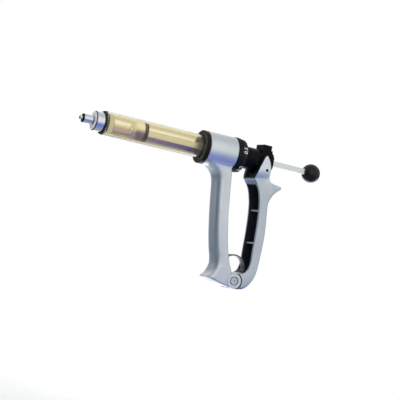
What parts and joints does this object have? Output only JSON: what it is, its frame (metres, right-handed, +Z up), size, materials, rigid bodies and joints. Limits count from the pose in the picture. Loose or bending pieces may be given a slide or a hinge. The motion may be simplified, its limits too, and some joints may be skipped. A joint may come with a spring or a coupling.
{
  "type": "pistol-grip dosing syringe",
  "caption": "Pistol-grip dosing syringe: squeezing the rear lever steps a toothed piston rod down an amber barrel by the dose set on a ribbed dial, out of a luer-lock nozzle.",
  "frame": {"origin": "middle of the luer cone's tip", "axes": "+X back along the barrel's axis to the ball knob, +Z up, the grip and the lever hang in -Z"},
  "size_m": [0.28, 0.0362, 0.155],
  "materials": {
    "silver_casting": "satin",
    "bright_metal": "polished",
    "amber_barrel": "clear",
    "dark_nut": "satin",
    "black_plastic": "satin",
    "black_knob": "gloss",
    "grey_piston": "satin",
    "rubber_seal": "matte",
    "steel": "brushed",
    "brass": "satin"
  },
  "bodies": {
    "body": {"luer_nozzle": "bright_metal", "nose_cap": "bright_metal", "nose_seal": "rubber_seal", "mouth_ring": "rubber_seal", "barrel_tube": "amber_barrel", "barrel_ring_nut": "dark_nut", "barrel_gasket": "rubber_seal", "body_casting": "silver_casting", "rod_guide": "black_plastic", "carriage_liner": "brass", "dial_retaining_ring": "steel", "detent_ball": "steel", "detent_spring": "steel", "pivot_screw": "steel", "pivot_bush": "brass", "pivot_nut": "steel", "lever_spring": "steel"},
    "dial": {"dose_dial": "black_plastic"},
    "carriage": {"carriage": "black_plastic", "pawl_spring": "steel"},
    "release": {"release_button": "black_plastic", "pawl_plate": "steel"},
    "rod": {"piston_rod": "steel", "ball_knob": "black_knob", "piston_body": "grey_piston", "piston_ring": "rubber_seal", "piston_washer": "steel", "piston_screw": "steel"},
    "lever": {"rear_lever": "silver_casting", "link_pin": "steel"}
  },
  "joints": [
    {"name": "lever_pivot", "type": "hinge", "parent": "body", "child": "lever", "pos_m": [0.1965, 0, -0.129], "axis": [0, -1, 0], "range_deg": [0, 3.82], "stiffness_Nm_per_rad": 15, "springref_deg": -4.01, "deforming": ["lever_spring"]},
    {"name": "carriage_slide", "type": "slide", "parent": "body", "child": "carriage", "axis": [-1, 0, 0], "range_m": [0, 0.008]},
    {"name": "dose_dial_turn", "type": "hinge", "parent": "body", "child": "dial", "pos_m": [0.178, 0, 0], "axis": [-1, 0, 0], "range_deg": [0, 360]},
    {"name": "release_press", "type": "slide", "parent": "carriage", "child": "release", "axis": [0, 0, -1], "range_m": [0, 0.0016], "stiffness_N_per_m": 1500, "springref_m": -0.0013, "deforming": ["pawl_spring"]},
    {"name": "rod_slide", "type": "slide", "parent": "body", "child": "rod", "axis": [1, 0, 0], "range_m": [-0.02, 0.068]}
  ],
  "couplings": [
    {"joint": "carriage_slide", "follows": "lever_pivot", "m_per_rad": 0.1198}
  ]
}
